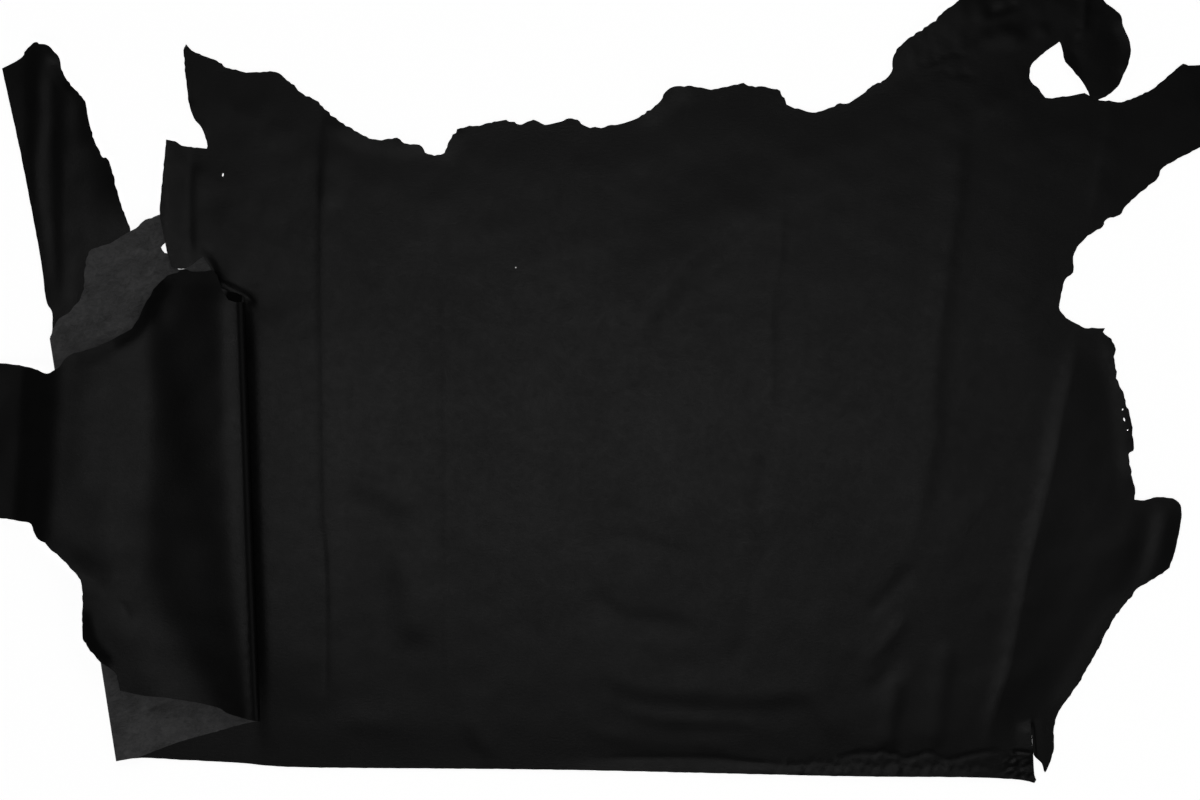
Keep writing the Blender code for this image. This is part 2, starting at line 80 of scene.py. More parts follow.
# the edge as it lies, anticlockwise, in centimetres; stretches meet at sharp corners
edge = [
    ("body", "backbone", 0.2, [
        (-0.6, 1.6), (3.2, 2.1), (9.6, 1.8), (19.2, 1.3), (29.8, 0.6), (70.4, 0.2), (115.2, -0.8),
        (135.7, -1), (143.7, -1.4), (146.1, -1.9),
    ]),
    ("body", "rumpNick", 0.1, [
        (146.1, -1.9), (146.4, -1.4), (146.1, -0.6), (145.92, 2.3), (145.7, 5), (145.5, 7.8),
    ]),
    ("body", "rumpTip", 0.1, [
        (145.5, 7.8), (145.78, 5), (146.02, 2.6), (147.3, 1.2), (147.8, -0.2), (148.7, 1.6),
    ]),
    ("body", "rump", 1, [
        (148.7, 1.6), (149.2, 3.7), (149.2, 6.1), (149.4, 8.2), (151, 11), (153, 13.9), (155.9, 18.8),
        (158.4, 23.7), (161.6, 28), (163.5, 29.8), (165.7, 31), (167.7, 32.5),
    ]),
    ("body", "rumpLobe", 0.6, [
        (167.7, 32.5), (167.9, 33.3), (168.3, 34.3), (169, 36.8), (169.6, 40.5), (169.4, 42.5),
        (168.2, 43.6), (165.7, 43.8), (163.7, 43.3), (162.1, 43.4),
    ]),
    ("body", "neckBase", 1.2, [
        (162.1, 43.4), (162.1, 45.5), (161.7, 47), (161.2, 50.9), (161.8, 51.3), (161.7, 55.4),
        (160.6, 59.2), (159.3, 62.8), (159, 66.2), (159.1, 67.4), (158.3, 69), (157.1, 70.2), (157.4, 70.8),
    ]),
    ("body", "neckHollow", 1, [
        (157.4, 70.8), (155.3, 70.8), (153.6, 71.1), (151.6, 72.2), (150.2, 73.6), (150.2, 75.3),
        (150.6, 77.3), (151.4, 78.9), (152.3, 79.7), (152.3, 82.2), (153, 83.8), (154.3, 85.2), (156.9, 87),
        (157.1, 87.8), (158.2, 88.5), (159.9, 88.9), (160.5, 90), (162.1, 91.7), (165.8, 94.7),
        (166.8, 96.6), (172.8, 99.8),
    ]),
    ("body", "neckEnd", 1, [(172.8, 99.8), (177, 102), (179.1, 106.5), (177, 111), (172.8, 112.9)]),
    ("body", "neckTop", 0.8, [
        (172.8, 112.9), (170.7, 112.8), (169.9, 113), (167, 110.7), (164.2, 108.6), (160, 107),
        (156.2, 107.4), (154.1, 108.4),
    ]),
    ("body", "forelegGap", 0.8, [
        (154.1, 108.4), (151.7, 107.9), (149.6, 107.7), (147.9, 107.7), (146.8, 109), (145.4, 110.7),
        (145.6, 112.8), (147.2, 114.4), (150.1, 116.6),
    ]),
    ("body", "hookInside", 0.6, [
        (150.1, 116.6), (150.7, 115.4), (151, 114.2), (153.1, 112.4), (154.4, 110.7), (155.3, 109),
    ]),
    ("body", "hook", 0.7, [
        (155.3, 109), (156.6, 109.2), (159, 110.7), (160.1, 112.2), (161.4, 114.8), (161.4, 116.3),
        (160.2, 119.5), (159.7, 121.1), (157.6, 122.7),
    ]),
    ("body", "forelegEnd", 1, [
        (157.6, 122.7), (154.8, 126.4), (152.5, 131.2), (147.2, 134.4), (140.8, 133.6), (135.6, 128.8),
        (134, 123.2),
    ]),
    ("body", "foreleg", 1.4, [
        (134, 123.2), (131.2, 121), (129.9, 119.7), (128.5, 118.7), (126.7, 117.6), (125, 116.4),
        (123.8, 114.9), (123.1, 111.9), (121.9, 110.2), (120.5, 109.8), (118.4, 108), (116.5, 106.8),
    ]),
    ("body", "belly", 1.4, [
        (116.5, 106.8), (113.7, 106.2), (111.6, 105.4), (108.8, 105.6), (107, 106.4), (105.7, 107.8),
        (105, 109), (101.5, 109.3), (99.6, 109.9), (97, 109.4), (93.9, 109.1), (90.7, 109.5), (88.2, 109.3),
        (87, 108.5), (85.9, 106.6), (82.8, 104.6), (79.4, 103.3), (75.1, 102.9), (73.4, 103.8),
        (71.7, 104.3), (69.1, 103.4), (67.4, 103.5), (66, 104.1), (63.8, 103.4), (63, 103.8), (60.6, 104),
        (57.9, 103.2), (54.4, 102.8), (52.9, 101.2), (51.7, 98.9), (50.2, 98.4), (48.8, 99), (47.8, 100.1),
        (45.4, 100.4), (44.2, 101.1), (40.8, 101), (37.4, 102.4), (34.4, 104.3), (32, 106.6), (28.5, 108.8),
        (26.7, 110.5), (24.9, 111.6), (23.4, 111.9), (21.2, 111.6), (19, 111.9), (16.9, 112.5),
        (15.4, 113.6), (12.6, 114.6), (11.4, 115.2), (10.5, 116.2),
    ]),
    ("body", "flank", 0.8, [
        (10.5, 116.2), (10.2, 114.3), (11.1, 106.1), (13, 102.7), (13.9, 100.4), (13.8, 99.5),
    ]),
    ("body", "flapTop", 0.6, [(13.8, 99.5), (11.8, 99.7), (9.9, 100), (8.8, 100.6), (7.4, 100.9)]),
    ("body", "flapSide", 0.5, [
        (7.4, 100.9), (7.2, 98.7), (6.5, 91.2), (6.4, 89), (7.6, 82.8), (8.2, 80.6),
    ]),
    ("body", "flapFoot", 0.2, [
        (8.2, 80.6), (9.3, 80.3), (10.2, 80.3), (11.4, 80.7), (12.6, 81.4), (13.1, 81.9),
    ]),
    ("body", "hiddenNotch", 1, [
        (13.1, 81.9), (12.2, 79.2), (9.6, 75.8), (6.1, 74.7), (3.2, 77.6), (1.8, 83.2), (1.6, 86.7),
    ]),
    ("body", "hindLeg", 1, [
        (1.6, 86.7), (0, 91.2), (-1.8, 97.6), (-2.6, 97.9), (-3.9, 100.5), (-5.1, 104.5), (-5.3, 106.6),
        (-6.1, 107.8), (-7.8, 109.6), (-9.4, 112.2),
    ]),
    ("body", "hindLegEnd", 0.6, [
        (-9.4, 112.2), (-9.9, 114.2), (-11.4, 115.9), (-12.9, 116.2), (-13.6, 116.5), (-15.3, 114.9),
        (-15.6, 114.1), (-18.9, 112.3),
    ]),
    ("body", "hindLegSide", 0.3, [
        (-18.9, 112.3), (-15.6, 97), (-12.8, 82.3), (-11.9, 75.5), (-10.9, 73.2), (-10.9, 70.6),
        (-11.2, 69.1),
    ]),
    ("over", "tip", 1, [
        (-11.2, 69.1), (-10.1, 71.8), (-8.8, 72.8), (-7.4, 74.2), (-6, 76), (-5.6, 78.1), (-5.7, 79.8),
        (-4.9, 82.9), (-3.5, 83.7), (-1.3, 84.6), (1.9, 86.4), (3.7, 87.7), (5.4, 88.6), (6.4, 89),
        (7.6, 88.8),
    ]),
    ("over", "tornSide", 1, [
        (7.6, 88.8), (7.9, 85.4), (7.3, 84.4), (6.6, 83.7), (7.2, 82.9), (8.2, 82.1), (8.7, 81),
        (9.3, 80.2),
    ]),
    ("over", "besideFlap", 0.2, [(9.3, 80.2), (10.2, 80.24), (11.4, 80.85), (12.6, 81.75), (13.3, 82.2)]),
    ("over", "upTheRoll", 0.6, [
        (13.3, 82.2), (13.9, 81.2), (14.6, 80.1), (15.3, 78.8), (15.9, 77.6), (16.8, 76.9), (18.1, 76.5),
        (19, 76.3), (19.7, 75.8), (20.1, 74.9),
    ]),
    ("back", "downTheRoll", 0.6, [
        (20.1, 74.9), (18.1, 75), (17.2, 75.7), (16.3, 77.3), (15.7, 79.2), (14.9, 80),
    ]),
    ("back", "endTop", 0.7, [
        (14.9, 80), (13.6, 79.8), (11.8, 79.8), (10.4, 80.1), (9.3, 79.6), (8.2, 79.3), (7.2, 78.7),
        (5.8, 77.3), (4.4, 75.2), (3, 72.3), (1.9, 70.7), (-0.3, 69.4), (-3.8, 67.7), (-7.4, 66.6),
        (-8.8, 65.7), (-9.6, 64.5), (-11.5, 63.5), (-13.1, 64.1), (-15.7, 64.8), (-19.2, 65.2),
    ]),
    ("back", "endTip", 1, [
        (-19.2, 65.2), (-24, 64.8), (-28, 61.6), (-29.1, 53), (-26.4, 43.2), (-19.2, 40.4),
    ]),
    ("back", "endFoot", 0.9, [
        (-19.2, 40.4), (-16.5, 40.1), (-14.1, 39.4), (-13.4, 37.8), (-10.7, 35.4), (-8.5, 33.3),
        (-6.2, 30.6), (-5.8, 28.4), (-5.9, 22.4), (-5.3, 20.5), (-3.3, 17.8), (-1.3, 16.5), (-0.2, 14.9),
        (0.2, 13),
    ]),
    ("back", "endBackbone", 0.3, [
        (0.2, 13), (4.2, 12.2), (9.6, 11.6), (15.4, 10.4), (17.6, 9.3), (22.2, 8),
    ]),
    ("over", "foldedBackbone", 0.3, [(22.2, 8), (20.3, 7.7), (14, 6), (8.6, 4.4), (3.2, 2.4), (-0.6, 1.6)]),
]


def smooth(t):
    t = np.clip(t, 0, 1)
    return t * t * (3 - 2 * t)


def makeFold(line, radius, toLeft):
    top, bottom = np.array(line[0]) * cm, np.array(line[1]) * cm
    up = (top - bottom) / np.linalg.norm(top - bottom)
    out = np.array((-up[1], up[0])) * (1 if toLeft else -1)
    return {"foot": bottom - radius * out, "up": up, "out": out, "radius": radius, "turn": math.pi * radius,
            "length": float(np.linalg.norm(top - bottom))}


tight = makeFold(tightLine, sheet["tightRadius"], True)
roll = makeFold(rollLine, sheet["rollRadius"], False)


def measure(fold, p):
    return (p - fold["foot"]) @ fold["out"], (p - fold["foot"]) @ fold["up"]


def place(fold, out, up):
    return fold["foot"] + np.multiply.outer(out, fold["out"]) + np.multiply.outer(up, fold["up"])


def unfold(fold, p, isUpper):
    out, up = measure(fold, p)
    curved = fold["radius"] * np.arcsin(np.clip(out / fold["radius"], 0, 1))
    isLeg = (up > fold["length"] + legFoot) & (not isUpper)
    out = np.where((out > 0) & ~isLeg, curved, out)
    if isUpper:
        out = fold["turn"] - out
    return place(fold, out, up)


def toPattern(p, layer):
    if layer == "body":
        return unfold(tight, p, False)
    return unfold(tight, unfold(roll, p, layer == "back"), True)


# a smooth line through the rows, as points about a step apart
def lineThrough(rows, step):
    p = np.array(rows, float) * cm
    p = np.vstack([2 * p[0] - p[1], p, 2 * p[-1] - p[-2]])
    out = []
    for a, b, c, d in zip(p, p[1:], p[2:], p[3:]):
        count = max(1, round(float(np.linalg.norm(c - b)) / step))
        t = np.arange(count)[:, None] / count
        bend = (2 * a - 5 * b + 4 * c - d) * t**2 + (3 * b - a - 3 * c + d) * t**3
        out.append((b * 2 + (c - a) * t + bend) / 2)
    return np.vstack([*out, p[-2:-1]])


# brings the sum of the sine waves to about 1 at its crests
waveScale = 2.6


# smooth noise along a line or over the plane, from a few turned sine waves
def waves(p, size, seed):
    rng = np.random.default_rng(seed)
    total = np.zeros(len(p))
    for i in range(7):
        angle = rng.uniform(0, math.tau)
        pitch = size * rng.uniform(0.6, 1.7)
        along = p @ (math.cos(angle), math.sin(angle))
        total += np.sin(along * math.tau / pitch + rng.uniform(0, math.tau))
    return total / waveScale


def acrossLine(line):
    along = np.gradient(line, axis=0)
    return np.stack([-along[:, 1], along[:, 0]], 1) / np.linalg.norm(along, axis=1)[:, None]


def patternLoop():
    loop = []
    for n, (layer, _, rough, rows) in enumerate(edge):
        line = lineThrough(rows, sheet["edgeStep"])
        ends = np.minimum(np.arange(len(line)), np.arange(len(line))[::-1]) / 3
        wobble = sum(share * waves(line, pitch, seed + n) for share, pitch, seed in sheet["wobbles"])
        line = line + acrossLine(line) * (sheet["ragged"] * rough * wobble * np.clip(ends, 0, 1))[:, None]
        loop.append(toPattern(line[:-1], layer))
    return np.vstack(loop)


def insideLoop(p, loop):
    inside = np.zeros(len(p), bool)
    for a, b in zip(loop, np.roll(loop, -1, axis=0)):
        if a[1] == b[1]:
            continue
        crosses = (a[1] > p[:, 1]) != (b[1] > p[:, 1])
        inside ^= crosses & (p[:, 0] < a[0] + (b[0] - a[0]) * (p[:, 1] - a[1]) / (b[1] - a[1]))
    return inside


# lines along both folds, close enough for a round turn
def foldLines():
    lines = []
    for fold, facets, pastTop, isRoll in ((tight, 6, 12 * mm, False), (roll, 18, 30 * mm, True)):
        up = np.arange(-5 * mm, fold["length"] - 4 * mm, sheet["foldStep"])
        up = np.append(up, fold["length"] + pastTop)
        for i in range(facets + 1):
            line = place(fold, np.full(len(up), fold["turn"] * i / facets), up)
            lines.append(unfold(tight, line, True) if isRoll else line)
    return lines


def gridOver(low, high, step):
    rise = step * math.sqrt(3) / 2
    rows = int((high[1] - low[1]) / rise) + 1
    cols = int((high[0] - low[0]) / step) + 1
    j, i = np.mgrid[0:rows, 0:cols]
    return np.stack([low[0] + step * (i + 0.5 * (j % 2)), low[1] + rise * j], -1).reshape(-1, 2)


# small holes: x and y in centimetres, long and short radius in millimetres, turn in degrees
holes = [
    (16.4, 95.3, 2.8, 1.3, 80), (63.2, 80.5, 0.9, 0.8, 20),
    (160.2, 57.8, 1.6, 1, 70), (160.45, 56.2, 3, 1.3, 105), (161, 54.5, 1.4, 0.9, 60),
]


def holeLoops():
    loops = []
    for x, y, long, short, turn in holes:
        t = np.arange(10) / 10 * math.tau
        c, s = math.cos(math.radians(turn)), math.sin(math.radians(turn))
        ring = np.stack([long * np.cos(t), short * np.sin(t)], 1) * mm
        loops.append(ring @ np.array([(c, s), (-s, c)]) + np.array((x, y)) * cm)
    return loops


# closer points where the relief is fine: left, bottom, right, top and spacing in centimetres
fineZones = [
    (86, -2, 141, 4.6, 0.45), (141, -2, 149.4, 8.6, 0.26), (124, 103, 153, 125, 0.6),
    (30.5, 6, 34.5, 107, 0.6), (13.6, 74.6, 20.4, 78.6, 0.35),
]


# adds a line to the points and edges that the mesh has to keep
def addLine(points, edges, line, isClosed):
    first = sum(len(p) for p in points)
    count = len(line) if isClosed else len(line) - 1
    edges += [(first + i, first + (i + 1) % len(line)) for i in range(count)]
    points.append(line)


def zoneCorners(zone):
    left, bottom, right, top, _ = zone
    return np.array((left, bottom)) * cm, np.array((right, top)) * cm


# closer points along the sharper creases and in the fine zones, then the body's grid and the folded end's
def fillPoints(fixed, loop):
    filled = []
    for line in sharpLines():
        line = line[farFrom(line, fixed, sheet["lineClear"]) & insideLoop(line, loop)]
        filled.append(line)
        fixed = np.vstack([fixed, line])
    for zone in fineZones:
        step = zone[-1]
        grid = gridOver(*zoneCorners(zone), step * cm)
        grid = grid[insideLoop(grid, loop)]
        filled.append(grid[farFrom(grid, fixed, sheet["clear"] * step * cm)])
    for step, wantsEnd in ((sheet["bodyStep"], False), (sheet["endStep"], True)):
        grid = gridOver(loop.min(0), loop.max(0), step)
        isEnd = (measure(tight, grid)[0] > 0) | ((grid[:, 0] < endCorner[0]) & (grid[:, 1] > endCorner[1]))
        isFine = np.zeros(len(grid), bool)
        for zone in fineZones:
            low, high = zoneCorners(zone)
            isFine |= (grid > low).all(1) & (grid < high).all(1)
        grid = grid[(isEnd == wantsEnd) & ~isFine & insideLoop(grid, loop)]
        filled.append(grid[farFrom(grid, fixed, sheet["clear"] * step)])
    return filled


def patternMesh():
    loop = patternLoop()
    rings = holeLoops()
    points, edges = [], []
    for line in (loop, *rings):
        addLine(points, edges, line, True)
    for line in foldLines():
        addLine(points, edges, line, False)
    points = np.vstack([*points, *fillPoints(np.vstack(points), loop)])
    spots, _, faces, *_ = delaunay_2d_cdt([Vector(p) for p in points], edges, [], 0, 1e-6, False)
    spots = np.array([tuple(s) for s in spots])
    faces = np.array(faces)
    middle = spots[faces].mean(1)
    keep = insideLoop(middle, loop)
    for ring in rings:
        keep &= ~insideLoop(middle, ring)
    return loop, spots, faces[keep]


def gapToEdge(p, loop):
    tree = KDTree(len(loop))
    for i, q in enumerate(loop):
        tree.insert((q[0], q[1], 0), i)
    tree.balance()
    return np.array([tree.find((q[0], q[1], 0))[2] for q in p])


# which points are further than a distance from all the fixed ones, by cells of that size
def farFrom(p, fixed, distance):
    cells = {}
    for q in fixed:
        cells.setdefault((int(q[0] // distance), int(q[1] // distance)), []).append(q)
    keep = np.ones(len(p), bool)
    for n, q in enumerate(p):
        i, j = int(q[0] // distance), int(q[1] // distance)
        near = [c for di in (-1, 0, 1) for dj in (-1, 0, 1) for c in cells.get((i + di, j + dj), ())]
        if near and np.min(np.linalg.norm(np.array(near) - q, axis=1)) < distance:
            keep[n] = False
    return keep


# creases and soft folds: name, layer, height in millimetres (a trough is negative), how far it reaches to
# its left or upper side and to its right or lower side in centimetres, how sharp its middle is (0 to 1), and
# its line, which runs upwards or to the right
creases = [
    ("flankCrease", "body", 0.9, 1.2, 4, 0.4, [
        (33, 7.7), (33.4, 27.2), (32.8, 41.6), (32.5, 59.2), (32.2, 83.2), (32.5, 106.6),
    ]),
    ("flankCreaseTop", "body", 0.9, 1.7, 3, 0.1, [(33, 89.6), (33.4, 99.2), (33.8, 105.9)]),
    ("flankDip", "body", -0.7, 0.8, 1.2, 0.4, [(32.8, 11.2), (33, 27.2), (32.3, 40)]),
    ("faintCrease", "body", 0.5, 0.7, 1.1, 0.6, [(52.2, 10.4), (52, 50.1), (51.5, 82.7)]),
    ("besideRoll", "body", 3.6, 4, 16, 0, [
        (24.8, 7.2), (23.9, 24), (22.9, 41.9), (22.4, 75.2), (22.4, 80),
    ]),
    ("besideCorner", "body", 1.6, 7, 7, 0, [(10.5, 88), (16, 83), (22.5, 79)]),
    ("shadeCorner", "body", -3, 1.3, 1.2, 1, [
        (13.3, 82.4), (14.5, 80.7), (15.8, 78), (18.1, 76.8), (20.4, 75.6), (21.8, 74.2),
    ]),
    ("loinStep", "body", 0.45, 2.2, 1.2, 0.3, [
        (103.7, 55), (104.3, 64.5), (104, 74.4), (105.3, 81.3), (106.2, 95.5),
    ]),
    ("loinTrough", "body", -0.6, 2, 2.6, 0.2, [
        (96.3, 16.3), (99.5, 20.8), (100.6, 27.2), (102.4, 35.2), (101.9, 43.2), (103.4, 51.2),
        (104.3, 55.2),
    ]),
    ("shoulderCrease", "body", 0.95, 4.5, 2.6, 0.35, [
        (126.7, 33.4), (127.2, 39.4), (129.4, 49.9), (129.9, 54.4), (130.4, 64.5), (131.2, 73.3),
        (132.2, 81.3), (133.1, 88.2), (133.9, 94.1), (134.2, 105.3),
    ]),
    ("neckCrease", "body", 2.1, 2, 8.5, 0.8, [
        (138.2, 3.2), (140, 10.9), (141.9, 17.4), (144.5, 30.9), (146.6, 40), (149, 50.1), (150.1, 57),
        (151.4, 61.9), (153.1, 70.4),
    ]),
    ("forelegLine", "body", 0.4, 1.6, 6, 0.5, [
        (155.4, 87.5), (156.3, 95.4), (157.9, 101.8), (158.7, 107.2),
    ]),
    ("rumpLobeTrough", "body", -1, 3.4, 1.8, 0.1, [(159.7, 25.9), (162.4, 30.7), (165.4, 42.7)]),
    ("rumpLobeCrest", "body", 0.9, 2.2, 3, 0.05, [(164, 29.1), (166.1, 35.2), (167.5, 42.4)]),
    ("lowRidge", "body", 1, 5, 2.6, 0.2, [
        (75.2, 17), (77.8, 15.7), (84, 13.1), (92.8, 12.5), (102.4, 12), (109.6, 12.5), (113.3, 7.7),
        (115.5, 3.2),
    ]),
    ("lowRidgeTwo", "body", 0.3, 1.6, 2.2, 0.1, [(72.3, 7.8), (81.1, 5.1), (93.4, 4.5), (98.7, 3.5)]),
    ("lowRidgeThree", "body", 0.6, 1.4, 1.6, 0.2, [(78.4, 10.2), (86.4, 8.6), (94.7, 8), (102.4, 7.7)]),
    ("lowLeftFold", "body", 0.7, 4, 2, 0.2, [(54.7, 10.2), (57.6, 4.6), (60.8, 2.1)]),
    ("lowLeftWave", "body", 0.45, 4, 3, 0, [(36, 8.6), (41.6, 7.7), (49.6, 7)]),
    ("leftDip", "body", 2.1, 5, 7, 0, [(47, 19.2), (46.6, 28.8), (43.7, 38.4)]),
    ("leftShelf", "body", 1.4, 2.6, 4.5, 0.2, [(34.9, 46.6), (41.9, 45.6), (47.5, 41.3)]),
    ("middleTroughOne", "body", -0.7, 1.8, 3.6, 0.15, [(76.8, 37.9), (84.2, 36.6), (91.5, 33.9)]),
    ("middleTroughTwo", "body", -0.9, 2.4, 4, 0.15, [
        (74.9, 29.8), (77.1, 26.9), (80.3, 24.5), (87, 23.7), (92.3, 21.9),
    ]),
    ("slantTroughOne", "body", -0.8, 2.2, 1.6, 0.2, [(119, 24.5), (123.2, 28.5), (127, 32.8)]),
    ("slantRidge", "body", 0.7, 1.8, 1.5, 0.1, [(119, 17), (122.6, 20.8), (126.2, 25.4)]),
    ("slantTroughTwo", "body", -0.5, 1.5, 2.6, 0.05, [(118.7, 12.5), (122.4, 15.7), (125.6, 19.2)]),
    ("rippleOne", "body", 1.1, 2.4, 2.4, 0.05, [(122.1, 3.2), (123.4, 10.4), (124.3, 15.7)]),
    ("rippleTwo", "body", 0.9, 2.8, 2.4, 0.05, [(129.8, 3.2), (130.9, 11.2), (132.2, 21.6)]),
    ("bellySlant", "body", 2.8, 12, 4.6, 0.1, [
        (78.4, 64.3), (83.2, 72.3), (91.2, 82.6), (100.2, 89), (106.9, 90.7),
    ]),
    ("bellyCrease", "body", 0.5, 1.2, 2, 0.3, [(75.2, 60.3), (79.7, 60.2), (83.5, 61.9)]),
    ("neckSlant", "body", 0.7, 4, 6, 0, [(109.3, 77.4), (115.2, 79), (121, 81.3)]),
    ("middleSlant", "body", 0.4, 2.6, 3.2, 0, [(92.5, 68.2), (98.4, 69.6), (103.7, 73.9)]),
    ("bellyWave", "body", 0.35, 3, 3.4, 0, [(56, 86.1), (60.8, 87), (64, 85.1)]),
    ("upperWave", "body", 0.4, 3.4, 4, 0, [(36, 76.8), (40.3, 77.4), (44.8, 80.3)]),
    ("forelegFold", "body", 0.6, 4, 2, 0.1, [
        (135.6, 104.9), (139.2, 106.2), (142.4, 108), (145.4, 110.2), (148, 111.8),
    ]),
    ("forelegSwell", "edge", 5.2, 3, 9, 0, [
        (112, 112.5), (120, 117.4), (126.5, 121.2), (131, 124), (138, 129),
    ]),
    ("forelegNick", "body", -1, 1.4, 1.4, 0.2, [(138.2, 121.3), (141.3, 121.8), (143.4, 122.9)]),
    ("forelegStep", "body", 1.5, 7, 2.8, 0.05, [(143, 114.9), (142.2, 120.3)]),
    ("forelegWrinkleOne", "body", -0.3, 0.7, 0.8, 0.3, [
        (129.3, 111.7), (131.8, 112.2), (133.3, 111), (134.9, 111.7), (136.6, 110.7),
    ]),
    ("forelegWrinkleTwo", "body", -0.2, 0.7, 0.7, 0.3, [(126.9, 113.4), (129, 113), (131.2, 113.6)]),
    ("forelegWrinkleThree", "body", -0.3, 0.7, 0.7, 0.3, [(130.9, 114.1), (133.1, 114.7), (135.5, 114.4)]),
    ("hookCrease", "body", 0.9, 1.2, 1.6, 0.6, [
        (152.3, 117.1), (153.8, 118.4), (154.1, 123.2), (154.1, 126.4),
    ]),
    ("hookDip", "body", -1.4, 1.4, 1.2, 0.1, [(153.9, 112), (153.1, 114.1), (152, 116)]),
    ("hookFold", "body", 0.7, 1.8, 1.6, 0.1, [(147.4, 116.8), (147.5, 120)]),
    ("backboneSeam", "body", -0.5, 0.9, 0.8, 0.3, [
        (76.2, 2.1), (92.8, 2.1), (100.3, 1.4), (107.8, 0.8), (114.2, 1.6),
    ]),
    ("backbonePucker", "body", -0.9, 0.7, 0.6, 0.5, [
        (113.3, 1.4), (116.8, 2.6), (118.6, 2.8), (120.8, 2.8), (121.6, 3.2), (122.9, 2.6), (124, 2.7),
        (125, 1.9), (127.2, 2.2), (128.6, 2.9), (129.8, 2.8), (130.8, 2.1), (132.2, 1.6), (134.7, 2.2),
        (138.1, 3), (141.4, 2.9),
    ]),
    ("backboneCurl", "edge", 1.2, 2, 2, 0.2, [
        (67.2, 0.2), (92.8, -0.2), (115.2, -0.6), (135.7, -1.1), (145.6, -1.8),
    ]),
    ("slitCurl", "edge", 2.6, 2.8, 0.55, 0.3, [(146.2, 1.4), (145.8, 3.6), (145.6, 6), (145.5, 8.4)]),
    ("knotOne", "edge", -1, 0.5, 0.6, 0.4, [(142.6, 3.1), (144, 3.1), (145.6, 2.9)]),
    ("knotTwo", "edge", -0.9, 0.5, 0.5, 0.4, [(143.4, 1.9), (143.7, 0.8), (144.1, -0.4)]),
    ("knotThree", "edge", -0.9, 0.5, 0.5, 0.4, [(144.3, 1.5), (145.1, 1.1), (145.9, 0.6)]),
    ("rumpCurl", "edge", 1.1, 3, 3, 0.1, [(149.4, 8.2), (153, 13.9), (158.2, 23.7), (163.4, 29.8)]),
    ("neckSideCurl", "edge", 1.3, 2.6, 2.6, 0.1, [
        (162.1, 44.5), (161.3, 51.2), (160.6, 59.2), (159, 66.2), (157.4, 70.4),
    ]),
    ("bellyCurlLeft", "edge", 1.6, 2.8, 2.8, 0.1, [
        (34.4, 104.3), (37.3, 102.4), (40.8, 101.1), (44.8, 100.6), (47.8, 100.2), (49.6, 98.7),
    ]),
    ("bellyCurlNotch", "edge", 1.5, 2.2, 2.2, 0.1, [
        (50.6, 98.4), (51.7, 98.9), (52.8, 101.3), (54.7, 102.9),
    ]),
    ("bellyCurlRight", "edge", 1.9, 3, 3, 0.1, [
        (82.7, 104.6), (84.8, 105.6), (86.4, 107.5), (88.3, 109.3), (92.8, 109.4),
    ]),
    ("flankCurl", "edge", 1, 1.4, 1.4, 0.1, [(11, 107.2), (12, 104), (13.4, 101.4)]),
    ("legCurl", "edge", -3.4, 2.2, 2.2, 0.1, [(-10.4, 114.9), (-9, 112), (-6.9, 109.4)]),
    ("hookCurl", "edge", 2, 1.8, 1.4, 0.1, [(159.7, 121.3), (161, 118.1), (161.4, 114.9), (160.3, 112)]),
    ("legLean", "edge", 8.5, 11, 0.8, 1, [
        (2.8, 85.1), (0.9, 91.4), (-1, 97.8), (-3.2, 101), (-4.2, 105), (-6.8, 110), (-9, 114), (-15, 124),
        (-22, 136),
    ]),
    ("legRippleOne", "body", 1.8, 2.6, 2.2, 0.1, [
        (-11.2, 71.7), (-12.8, 85.6), (-13.6, 94.4), (-13, 104), (-13, 116),
    ]),
    ("legRippleTwo", "body", 1.3, 2.2, 2.6, 0.1, [
        (-9.6, 71.7), (-9, 83.2), (-9, 94.4), (-8.9, 103), (-8.9, 112),
    ]),
    ("legRippleThree", "body", 0.6, 2, 3, 0.1, [(-6.9, 81.3), (-6.6, 89.6), (-7, 97.2), (-7.6, 102.8)]),
    ("flapRidge", "body", 1.1, 1.4, 3, 0.1, [(12.3, 82.4), (12, 91.2), (12.3, 97.6)]),
    ("endTopFall", "back", -3, 2.2, 2.2, 0, [
        (-2, 68.5), (-0.3, 69.4), (1.8, 70.7), (2.9, 72.3), (4.3, 75.2), (5.8, 77.3), (7.4, 78.7),
    ]),
    ("endTopDip", "back", -1.1, 2.2, 3.4, 0, [(-9.6, 65.9), (-7.4, 66.6), (-3.8, 67.7), (-0.3, 69.4)]),
    ("endSideFall", "back", -3, 1.8, 1.8, 0, [
        (-1.3, 16.5), (-3.2, 17.9), (-5.3, 20.5), (-5.9, 22.7), (-6.2, 26),
    ]),
    ("endTuck", "back", -1.4, 4, 1.8, 0, [(-10, 34.2), (-6, 31.6), (-1, 29.2)]),
    ("endNick", "back", -0.35, 0.7, 0.6, 0.5, [(1.9, 24.2), (0.2, 27.4)]),
    ("endRippleOne", "back", 0.35, 3.2, 3.2, 0, [(-6.4, 43.2), (-5.4, 54.4), (-4.8, 63.7)]),
    ("endRippleTwo", "back", 0.4, 3.2, 3.2, 0, [(-2.2, 32), (-1.3, 43.2), (-0.6, 54.4)]),
    ("endTopFold", "back", 0.8, 1.4, 3, 0.1, [(5.4, 70.4), (6.4, 72.6), (7.5, 75.2)]),
]


# lines of closer points along the sharper creases
def sharpLines():
    lines = []
    for _, layer, _, left, right, sharp, rows in creases:
        if sharp < sheet["sharpFrom"]:
            continue
        line = lineThrough(rows, sheet["creaseStep"])
        for share in (0, 0.3, 0.65, -0.3, -0.65):
            reach = min(left if share > 0 else right, sheet["creaseReach"]) * cm
            lines.append(toPattern(line + acrossLine(line) * share * reach, layer))
    return lines


